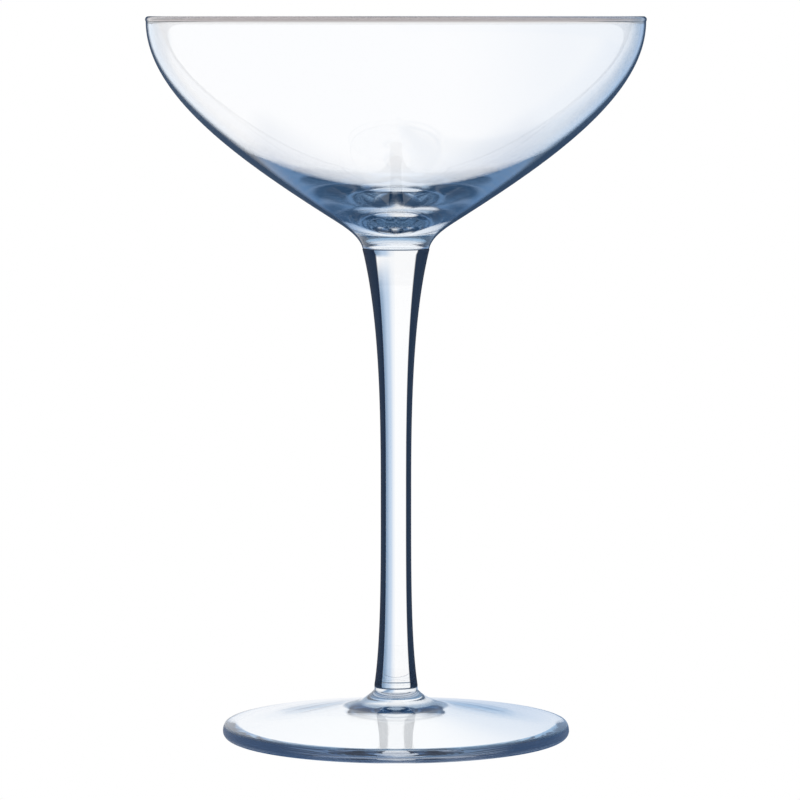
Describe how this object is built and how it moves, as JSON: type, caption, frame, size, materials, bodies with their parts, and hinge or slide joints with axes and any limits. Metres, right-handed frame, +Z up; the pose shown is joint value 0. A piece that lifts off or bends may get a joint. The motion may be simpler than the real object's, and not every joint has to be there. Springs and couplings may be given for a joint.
{
  "type": "coupe glass",
  "caption": "Clear coupe glass with a shallow wide bowl, a slim flared stem and a thin round foot, fused from separate pieces.",
  "frame": {"origin": "centre of the foot's underside, on the table, on the axis of the glass", "axes": "+Z up along the axis of the glass; the glass is the same all round, so +X and +Y are any two square directions"},
  "size_m": [0.1048, 0.1048, 0.152],
  "materials": {
    "bowl_glass": "fire-polished clear soda-lime glass",
    "stem_glass": "drawn clear soda-lime glass",
    "foot_glass": "pressed and fire-polished clear soda-lime glass"
  },
  "bodies": {
    "root": {"bowl": "bowl_glass", "stem": "stem_glass", "foot": "foot_glass"}
  },
  "joints": []
}
